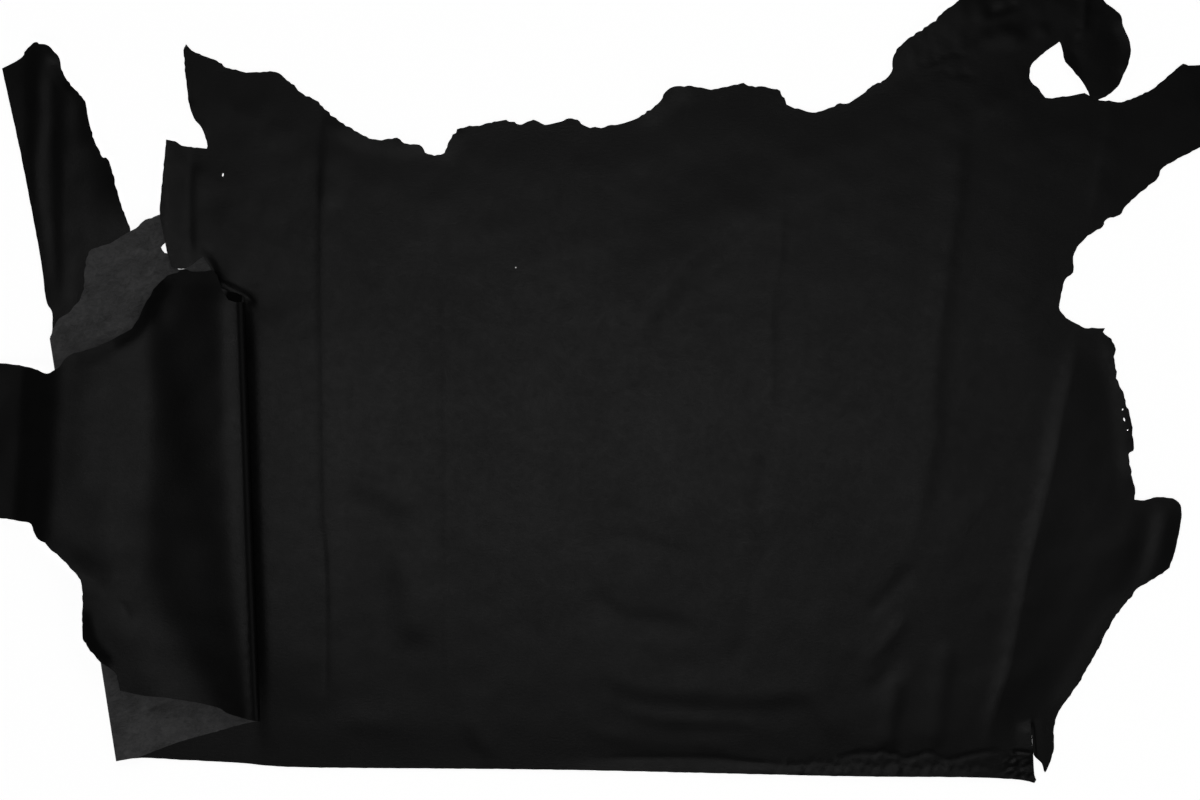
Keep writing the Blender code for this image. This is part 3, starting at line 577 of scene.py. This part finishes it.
# for each point: how far off the line is, on which side of it the point lies, and how far along it (0 to 1)
def alongLine(p, line):
    near = np.full(len(p), np.inf)
    side = np.zeros(len(p))
    share = np.zeros(len(p))
    steps = np.linalg.norm(np.diff(line, axis=0), axis=1)
    run = np.concatenate([[0], np.cumsum(steps)])
    for i, (a, b) in enumerate(zip(line, line[1:])):
        d = b - a
        t = np.clip(((p - a) @ d) / (d @ d), 0, 1)
        q = p - a - t[:, None] * d
        dist = np.linalg.norm(q, axis=1)
        better = dist < near
        near = np.where(better, dist, near)
        side = np.where(better, d[0] * q[:, 1] - d[1] * q[:, 0], side)
        share = np.where(better, (run[i] + t * steps[i]) / run[-1], share)
    return near, side, share


def creaseHeight(p, wanted):
    total = np.zeros(len(p))
    for _, layer, height, left, right, sharp, rows in creases:
        if layer != wanted:
            continue
        line = lineThrough(rows, 2 * cm)
        reach = max(left, right) * cm
        close = np.flatnonzero(((p > line.min(0) - reach) & (p < line.max(0) + reach)).all(1))
        if not len(close):
            continue
        near, side, share = alongLine(p[close], line)
        t = np.clip(near / (np.where(side > 0, left, right) * cm), 0, 1)
        length = np.linalg.norm(np.diff(line, axis=0), axis=1).sum()
        fade = min(max(0.16, 0.8 * reach / length), 0.5)
        ends = smooth(np.minimum(share, 1 - share) / fade) * 0.9 + 0.1
        total[close] += height * mm * ends * ((1 - sharp) * (1 - smooth(t)) + sharp * (1 - t) ** 2)
    return total


# puckers: how far they stand in millimetres, and in centimetres their pitch, the middle of the patch that
# they fill and its reach to the side and upwards
puckers = [
    ("cornerKnot", 0.45, 1.3, (143.6, 0.6), 3.4, 2.8),
    ("lowEdge", 0.35, 1.9, (121, 0.3), 27, 2.3),
    ("forelegSkin", 0.1, 2.4, (131, 115), 8, 7),
    ("forelegTop", 0.22, 3.6, (141, 121), 9, 5),
]

# how the body lies
lie = {
    "slack": 1.5 * mm,  # the body's height away from its edges
    "swells": ((0.12 * mm, 84 * mm, 5), (0.04 * mm, 31 * mm, 8)),  # height, pitch and seed
    # the share of the slack and of the creases that is left at the edge, and how far in they are whole
    "slackEdge": (0.35, 8 * cm), "creaseEdge": (0.4, 2 * cm),
    "floorGap": 0.15 * mm, "floorSoft": 0.5 * mm,
    "pressReach": 14 * mm, "pressTop": 1 * cm, "pressFade": 3 * cm,
    "flapLift": 6.2 * mm, "flapSoft": 0.006, "flapLeft": 4 * cm, "flapFoot": 79.5 * cm,
    "flapX": (11.2 * cm, 8.1 * cm), "flapY": (103 * cm, 101 * cm),
    "hookLift": 3.4 * mm, "hookShift": -1.8 * cm,
    "hookX": (150.5 * cm, 162 * cm), "hookY": (119 * cm, 109.2 * cm), "hookFoot": 108.6 * cm,
}


# the folded end presses the body flat under it, and the body swells up again close beside the roll
def pressedByRoll(p):
    out, up = measure(roll, p)
    beside = (1 - np.clip((out - roll["radius"]) / lie["pressReach"], 0, 1)) ** 2
    return beside * (1 - smooth((up - roll["length"] + lie["pressTop"]) / lie["pressFade"]))


def fromEdge(gap, shares):
    atEdge, reach = shares
    return atEdge + (1 - atEdge) * smooth(gap / reach)


def bodyRelief(p, edgeGap):
    z = lie["slack"]
    for height, pitch, seed in lie["swells"]:
        z = z + height * waves(p, pitch, seed)
    z = z * fromEdge(edgeGap, lie["slackEdge"]) + creaseHeight(p, "edge")
    z += creaseHeight(p, "body") * fromEdge(edgeGap, lie["creaseEdge"])
    z *= 1 - pressedByRoll(p)
    for n, (_, height, pitch, middle, reachX, reachY) in enumerate(puckers):
        d = (p - np.array(middle) * cm) / (np.array((reachX, reachY)) * cm)
        fade = 1 - smooth((d**2).sum(1))
        z += height * mm * fade * waves(p, pitch * cm, 30 + n)
    return z


# the share of the way from the first place to the second
def onTheWay(p, places):
    return (places[0] - p) / (places[0] - places[1])


# the flap's slope up onto the folded end
def flapHeight(p):
    isFlap = (p[:, 0] > lie["flapLeft"]) & (p[:, 0] < lie["flapX"][0])
    isFlap &= (p[:, 1] > lie["flapFoot"]) & (p[:, 1] < lie["flapY"][0])
    upX = np.clip(onTheWay(p[:, 0], lie["flapX"]), 0, 1.2)
    upX = np.sqrt(upX * upX + lie["flapSoft"]) - math.sqrt(lie["flapSoft"])
    return np.where(isFlap, lie["flapLift"] * upX * smooth(onTheWay(p[:, 1], lie["flapY"])), 0)


# the foreleg's hook curls down, and its tip lies on the neck's edge
def hookShare(p):
    isHook = (p[:, 0] > lie["hookX"][0]) & (p[:, 0] < lie["hookX"][1])
    isHook &= (p[:, 1] > lie["hookFoot"]) & (p[:, 1] < lie["hookY"][0])
    return np.where(isHook, smooth(onTheWay(p[:, 1], lie["hookY"])), 0)


def bodyPlace(p, edgeGap):
    z = bodyRelief(p, edgeGap)
    z = lie["floorGap"] + (z + np.sqrt(z * z + lie["floorSoft"] ** 2)) / 2 + flapHeight(p)
    share = hookShare(p)
    p = p + np.stack([0 * share, lie["hookShift"] * share], 1)
    return p, z + lie["hookLift"] * share


# the roll and what returns from it, by the height up the sheet in centimetres: height of the roll's top, of
# the crest beside it and of the level part in millimetres, how far the crest and the slope's foot are from
# the roll in centimetres, and how soft the foot is
rollRows = [
    (78, 21.5, 23.5, 11.5, 1.7, 13, 0.01), (75, 23, 25.2, 11.5, 2, 13.3, 0.01),
    (53, 23.6, 26, 11.5, 2.7, 14.1, 0.01), (37, 23.6, 26, 11.5, 2.2, 15, 0.02),
    (31.7, 23.6, 25.4, 11.5, 2, 15.6, 0.05), (25.6, 23.2, 24.4, 11.5, 1.6, 13.5, 0.12),
    (19.2, 22.8, 23.5, 12, 1.1, 9.4, 0.15), (11.2, 21, 21.3, 13, 0.7, 5.4, 0.15),
    (7.7, 19.2, 19.4, 13.5, 0.5, 4, 0.15),
]
# where the returned end starts to fall to the floor, by the height up the sheet, in centimetres
dropRows = [(26, -18), (33, -11.5), (38, -10.3), (52, -9.2), (64, -8.5), (70, -8.2)]


def rollShape(y):
    rows = np.array(rollRows)[::-1]
    units = (mm, mm, mm, cm, cm, 1)
    return [np.interp(y / cm, rows[:, 0], rows[:, k + 1]) * units[k] for k in range(6)]


# a straight ramp from 0 to 1 with softened ends
def ramp(t, softStart, softEnd):
    return (np.sqrt(t * t + softStart) - np.sqrt((t - 1) ** 2 + softEnd) + 1) / 2


# how the returned end leaves the roll, slopes down, and falls to the floor
end = {
    "slopeStart": 1.15,  # as a share of the crest's distance from the roll
    "ripple": 0.3 * mm, "ripplePitch": 70 * mm, "rippleStart": 5 * cm,
    "rise": 4.5 * mm, "riseWidth": 9 * cm,  # beyond the slope's foot it rises a little
    "steepFall": 0.62, "steepWidth": 7.4 * cm, "softFall": 0.38, "softWidth": 19 * cm,
    "floorGap": 0.3 * mm, "floorPitch": 60 * mm,
}


# the returned end: over the crest, down its long slope, level on the folded layer, then off it to the floor
def endHeight(p, relief):
    rollTop, crest, level, crestAt, footAt, softFoot = rollShape(p[:, 1])
    fromRoll = -measure(roll, p)[0]
    rows = np.array(dropRows) * cm
    pastDrop = np.interp(p[:, 1], rows[:, 0], rows[:, 1]) - p[:, 0]
    z = crest - (crest - rollTop) * np.clip(1 - fromRoll / crestAt, 0, None) ** 2
    slope = (fromRoll - crestAt * end["slopeStart"]) / (footAt - crestAt)
    z -= (crest - level) * ramp(slope, 0.005, softFoot)
    z += end["ripple"] * waves(p, end["ripplePitch"], 15) * smooth(fromRoll / end["rippleStart"]) + relief
    z += end["rise"] * ramp((fromRoll - footAt) / end["riseWidth"], softFoot + 0.02, 0.03)
    onLayer = 2 * tight["radius"] + sheet["thick"] + sheet["layerGap"]
    steep = smooth(np.clip(pastDrop / end["steepWidth"], 0, 1) ** 1.15)
    drop = end["steepFall"] * steep + end["softFall"] * smooth(pastDrop / end["softWidth"])
    onFloor = end["floorGap"] * (1.4 + np.clip(waves(p, end["floorPitch"], 19), -1, 1))
    return np.maximum(z, onLayer) * (1 - drop) + drop * onFloor


# the places and heights of the body, then of the tight fold and the layer that it turns over
def foldOver(flat, edgeGap):
    seen = flat.copy()
    z = np.zeros(len(flat))
    out, up = measure(tight, flat)
    onLeg = (up > tight["length"] + legFoot) & (out < legReach)
    onBody = (out <= 0) | onLeg
    seen[onBody], z[onBody] = bodyPlace(flat[onBody], edgeGap[onBody])
    turning = ~onBody & (out < tight["turn"])
    angle = out / tight["radius"]
    seen[turning] = place(tight, tight["radius"] * np.sin(angle), up)[turning]
    z[turning] = (tight["radius"] * (1 - np.cos(angle)))[turning]
    over = ~onBody & ~turning
    seen[over] = place(tight, tight["turn"] - out, up)[over]
    z[over] = 2 * tight["radius"]
    return seen, z, over


# the open roll and the end that returns from it
def rollBack(seen, z, over):
    out, up = measure(roll, seen)
    turning = over & (out > 0) & (out < roll["turn"])
    back = over & (out >= roll["turn"])
    angle = out / roll["radius"]
    rolled = place(roll, roll["radius"] * np.sin(angle), up)
    returned = place(roll, roll["turn"] - out, up)
    seen[turning] = rolled[turning]
    rollTop, crest, _, crestAt, *_ = rollShape(seen[:, 1])
    share = (1 - np.cos(angle)) / 2
    lean = 2 * (crest - rollTop) / crestAt * roll["radius"] * np.sin(angle)
    z[turning] += ((rollTop - 2 * tight["radius"] - lean) * share)[turning]
    seen[back] = returned[back]
    z[back] = endHeight(seen[back], creaseHeight(seen[back], "back"))


def layOut(flat, edgeGap):
    seen, z, over = foldOver(flat, edgeGap)
    rollBack(seen, z, over)
    return seen, z + sheet["thick"] / 2


# the three surfaces: sizes and depths in millimetres
grainLook = {
    "dark": (0.0028, 0.0028, 0.0029), "light": (0.005, 0.005, 0.0051),
    "rough": (0.32, 0.4), "specular": 0.3,
    "pebble": 1.5, "pebbleDepth": 0.035, "pore": 0.9, "wrinkle": 7, "wrinkleDepth": 0.14,
    "mottle": 34, "patch": 160, "speckle": 12, "sheenRange": (0.575, 0.975),
}
fleshLook = {
    "dark": (0.07, 0.07, 0.071), "light": (0.235, 0.235, 0.237),
    "rough": 0.95, "specular": 0.1, "fuzz": 0.08, "fuzzRough": 0.5,
    "nap": 1.1, "napDepth": 0.16, "streak": 14, "streakDepth": 0.25, "cloud": 48,
    # the shade inside the roll's open end: its colour, its place in centimetres, and how far out it fades
    "mouth": (0.008, 0.008, 0.008), "mouthAt": (18.4, 75.9), "mouthFade": (13 * mm, 21 * mm),
}
cutLook = {
    "dark": (0.006, 0.006, 0.006), "light": (0.045, 0.045, 0.045), "rough": 0.9, "specular": 0.2,
    "fibre": 0.8, "fibreDepth": 0.15, "dye": 12,
}


def newMaterial(name):
    material = bpy.data.materials.new(name)
    material.use_nodes = True
    nodes, links = material.node_tree.nodes, material.node_tree.links
    shader = nodes["Principled BSDF"]
    pattern = nodes.new("ShaderNodeUVMap")
    pattern.uv_map = "pattern"

    def noise(size, detail=3, rough=0.5, stretch=None, distort=0):
        node = nodes.new("ShaderNodeTexNoise")
        node.inputs["Scale"].default_value = 1000 / size
        node.inputs["Detail"].default_value = detail
        node.inputs["Roughness"].default_value = rough
        node.inputs["Distortion"].default_value = distort
        source = pattern.outputs["UV"]
        if stretch:
            turn = nodes.new("ShaderNodeMapping")
            turn.inputs["Scale"].default_value = (stretch[0], stretch[1], 1)
            turn.inputs["Rotation"].default_value = (0, 0, math.radians(stretch[2]))
            links.new(source, turn.inputs["Vector"])
            source = turn.outputs["Vector"]
        links.new(source, node.inputs["Vector"])
        return node.outputs["Fac"]

    def cells(size, feature):
        node = nodes.new("ShaderNodeTexVoronoi")
        node.feature = feature
        node.inputs["Scale"].default_value = 1000 / size
        links.new(pattern.outputs["UV"], node.inputs["Vector"])
        return node.outputs["Distance"]

    # 0 close to a spot of the pattern, 1 away from it
    def near(spot, inner, outer):
        node = nodes.new("ShaderNodeVectorMath")
        node.operation = "DISTANCE"
        node.inputs[1].default_value = (spot[0], spot[1], 0)
        links.new(pattern.outputs["UV"], node.inputs[0])
        return between(node.outputs["Value"], inner, outer)

    def between(source, low, high, outLow=0.0, outHigh=1.0):
        node = nodes.new("ShaderNodeMapRange")
        ends = {"From Min": low, "From Max": high, "To Min": outLow, "To Max": outHigh}
        for socket, value in ends.items():
            node.inputs[socket].default_value = value
        links.new(source, node.inputs["Value"])
        return node.outputs["Result"]

    def combine(operation, a, b):
        node = nodes.new("ShaderNodeMath")
        node.operation = operation
        for socket, value in zip(node.inputs, (a, b)):
            if isinstance(value, (int, float)):
                socket.default_value = value
            else:
                links.new(value, socket)
        return node.outputs["Value"]

    # the sum of the sources, each times its weight
    def blend(*parts):
        total = None
        for source, weight in parts:
            part = combine("MULTIPLY", source, weight)
            total = combine("ADD", total, part) if total else part
        return total

    def colours(source, dark, light):
        node = nodes.new("ShaderNodeMix")
        node.data_type = "RGBA"
        node.inputs["A"].default_value = (*dark, 1)
        if isinstance(light, tuple):
            node.inputs["B"].default_value = (*light, 1)
        else:
            links.new(light, node.inputs["B"])
        links.new(source, node.inputs["Factor"])
        links.new(node.outputs["Result"], shader.inputs["Base Color"])
        return node.outputs["Result"]

    def bump(layers):
        normal = None
        for source, depth in layers:
            node = nodes.new("ShaderNodeBump")
            node.inputs["Distance"].default_value = depth * mm
            links.new(source, node.inputs["Height"])
            if normal:
                links.new(normal, node.inputs["Normal"])
            normal = node.outputs["Normal"]
        links.new(normal, shader.inputs["Normal"])

    return SimpleNamespace(
        material=material, links=links, shader=shader, noise=noise, cells=cells, near=near, between=between,
        combine=combine, blend=blend, colours=colours, bump=bump,
    )


# smooth black finish: fine pebbles, faint growth wrinkles and a cloudy sheen
def grainLeather():
    kit = newMaterial("grainLeather")
    cloud = kit.noise(grainLook["mottle"], 4, 0.6)
    patch = kit.noise(grainLook["patch"], 2, 0.5)
    speckle = kit.noise(grainLook["speckle"], 5, 0.75)
    pebble = kit.between(kit.cells(grainLook["pebble"], "F1"), 0, 0.75, 1, 0)
    pores = kit.between(kit.noise(grainLook["pore"], 2, 0.6), 0.62, 0.75)
    wrinkle = kit.noise(grainLook["wrinkle"], 5, 0.62, (1, 2.2, 12), 0.6)
    kit.colours(kit.blend((cloud, 0.6), (patch, 0.4)), grainLook["dark"], grainLook["light"])
    sheen = kit.blend((cloud, 0.45), (patch, 0.4), (speckle, 0.7))
    rough = kit.between(sheen, *grainLook["sheenRange"], *grainLook["rough"])
    kit.links.new(rough, kit.shader.inputs["Roughness"])
    kit.shader.inputs["Specular IOR Level"].default_value = grainLook["specular"]
    grain = kit.combine("SUBTRACT", pebble, kit.combine("MULTIPLY", pores, 0.5))
    kit.bump([(wrinkle, grainLook["wrinkleDepth"]), (grain, grainLook["pebbleDepth"])])
    return kit.material


# grey suede underside: short nap brushed in streaks
def fleshLeather():
    kit = newMaterial("fleshLeather")
    nap = kit.noise(fleshLook["nap"], 5, 0.75)
    streak = kit.noise(fleshLook["streak"], 6, 0.7, (1, 1.8, 115), 1.6)
    cloud = kit.noise(fleshLook["cloud"], 4, 0.6, (1, 1.3, 20), 0.6)
    suede = kit.between(kit.blend((streak, 0.38), (nap, 0.27), (cloud, 0.35)), 0.36, 0.64)
    mouth = kit.near(toPattern(np.array([fleshLook["mouthAt"]]) * cm, "over")[0], *fleshLook["mouthFade"])
    kit.colours(mouth, fleshLook["mouth"], kit.colours(suede, fleshLook["dark"], fleshLook["light"]))
    kit.shader.inputs["Roughness"].default_value = fleshLook["rough"]
    kit.shader.inputs["Specular IOR Level"].default_value = fleshLook["specular"]
    kit.shader.inputs["Sheen Weight"].default_value = fleshLook["fuzz"]
    kit.shader.inputs["Sheen Roughness"].default_value = fleshLook["fuzzRough"]
    kit.bump([(streak, fleshLook["streakDepth"]), (nap, fleshLook["napDepth"])])
    return kit.material


# raw cut edge: loose fibres, part dyed
def cutLeather():
    kit = newMaterial("cutLeather")
    fibre = kit.noise(cutLook["fibre"], 4, 0.7)
    dye = kit.noise(cutLook["dye"], 3, 0.6)
    raw = kit.between(kit.blend((fibre, 0.4), (dye, 0.6)), 0.35, 0.65)
    kit.colours(raw, cutLook["dark"], cutLook["light"])
    kit.shader.inputs["Roughness"].default_value = cutLook["rough"]
    kit.shader.inputs["Specular IOR Level"].default_value = cutLook["specular"]
    kit.bump([(fibre, cutLook["fibreDepth"])])
    return kit.material


# the folded sheet as one surface, centred on the frame's hide, with its flat pattern kept as the UV map
def hideSurface():
    loop, flat, faces = patternMesh()
    print("pattern:", len(flat), "points,", len(faces), "triangles")
    seen, z = layOut(flat, gapToEdge(flat, loop))
    used = np.unique(faces)
    low, high = seen[used].min(0), seen[used].max(0)
    boxLow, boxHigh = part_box("hide")
    shift = np.array([(boxLow[k] + boxHigh[k]) / 2 for k in range(2)]) - (low + high) / 2
    renumber = np.full(len(flat), -1)
    renumber[used] = np.arange(len(used))
    places = np.column_stack([seen[used] + shift, z[used]])
    mesh = bpy.data.meshes.new("hideSheet")
    mesh.from_pydata(places.tolist(), [], renumber[faces].tolist())
    uv = mesh.uv_layers.new(name="pattern")
    corners = np.zeros(len(mesh.loops), int)
    mesh.loops.foreach_get("vertex_index", corners)
    uv.uv.foreach_set("vector", flat[used][corners].astype(np.float32).ravel())
    mesh.shade_smooth()
    return mesh, flat[used]


# half the thickness to each side, flesh side below and a raw edge all round
def thicken(piece):
    solidify = piece.modifiers.new("thickness", "SOLIDIFY")
    solidify.thickness = sheet["thick"]
    solidify.offset = 0
    solidify.use_even_offset = True
    solidify.material_offset = 1
    solidify.material_offset_rim = 2
    bpy.ops.object.select_all(action="DESELECT")
    bpy.context.view_layer.objects.active = piece
    piece.select_set(True)
    bpy.ops.object.modifier_apply(modifier="thickness")
    bpy.ops.object.shade_smooth_by_angle(angle=math.radians(50))


def makeHide():
    mesh, flat = hideSurface()
    piece = bpy.data.objects.new("hideSheet", mesh)
    bpy.context.collection.objects.link(piece)
    for material in (grainLeather(), fleshLeather(), cutLeather()):
        mesh.materials.append(material)
    thicken(piece)
    print("hide:", len(piece.data.polygons), "faces")
    return piece, flat.max(0) - flat.min(0)


hidePiece, size = makeHide()
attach(hidePiece, "root")
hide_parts("hide")

# a glowing pale floor, one soft light overhead and four around, and a camera that looks straight down
studio = {
    "floor": (0.88, 0.88, 0.88), "glow": 0.86, "floorSize": 30, "floorDrop": 0.2 * mm, "sky": 0.02,
    "aim": (0.0175, -0.0705), "height": 5.33, "lens": 100,
    "overhead": (-0.13, -0.12, 5.6), "overheadSize": (3.2, 1.1), "overheadWatts": 19,
    "sideHeight": 2, "sideSize": (8.6, 2.6),
    "sides": [("right", 4.6, 0, 14), ("back", 0, 4.6, 24), ("left", -4.6, 0, 9), ("front", 0, -4.6, 24)],
}


def makeFloor():
    bpy.ops.object.select_all(action="DESELECT")
    bpy.ops.mesh.primitive_plane_add(size=studio["floorSize"], location=(0, 0, -studio["floorDrop"]))
    floor = bpy.context.object
    floor.name = "floor"
    material = bpy.data.materials.new("paleFloor")
    material.use_nodes = True
    shader = material.node_tree.nodes["Principled BSDF"]
    shader.inputs["Base Color"].default_value = (*studio["floor"], 1)
    shader.inputs["Roughness"].default_value = 0.9
    shader.inputs["Specular IOR Level"].default_value = 0.1
    shader.inputs["Emission Color"].default_value = (1, 1, 1, 1)
    shader.inputs["Emission Strength"].default_value = studio["glow"]
    floor.data.materials.append(material)
    return floor


def softbox(name, place, aim, size, watts):
    light = bpy.data.lights.new(name, "AREA")
    light.shape = "RECTANGLE"
    light.size, light.size_y = size
    light.energy = watts
    lamp = bpy.data.objects.new(name, light)
    lamp.location = place
    lamp.rotation_euler = (Vector(aim) - Vector(place)).to_track_quat("-Z", "Y").to_euler()
    bpy.context.collection.objects.link(lamp)


def makeSky():
    world = bpy.data.worlds.new("studio")
    bpy.context.scene.world = world
    world.use_nodes = True
    nodes, links = world.node_tree.nodes, world.node_tree.links
    background = nodes["Background"]
    background.inputs["Color"].default_value = (1, 1, 1, 1)
    path = nodes.new("ShaderNodeLightPath")
    level = nodes.new("ShaderNodeMapRange")
    level.inputs["To Min"].default_value = studio["sky"]
    level.inputs["To Max"].default_value = 1
    links.new(path.outputs["Is Camera Ray"], level.inputs["Value"])
    links.new(level.outputs["Result"], background.inputs["Strength"])


def makeCamera():
    camera = bpy.data.objects.new("camera", bpy.data.cameras.new("camera"))
    bpy.context.collection.objects.link(camera)
    camera.location = (*studio["aim"], studio["height"])
    camera.data.lens = studio["lens"]
    bpy.context.scene.camera = camera


makeFloor()
x, y, _ = studio["overhead"]
softbox("overhead", studio["overhead"], (x, y, 0), studio["overheadSize"], studio["overheadWatts"])
for name, x, y, watts in studio["sides"]:
    softbox(name, (x, y, studio["sideHeight"]), (0, 0, 0), studio["sideSize"], watts)
makeSky()
makeCamera()
bpy.context.scene.view_settings.view_transform = "Standard"
print("studio ready")
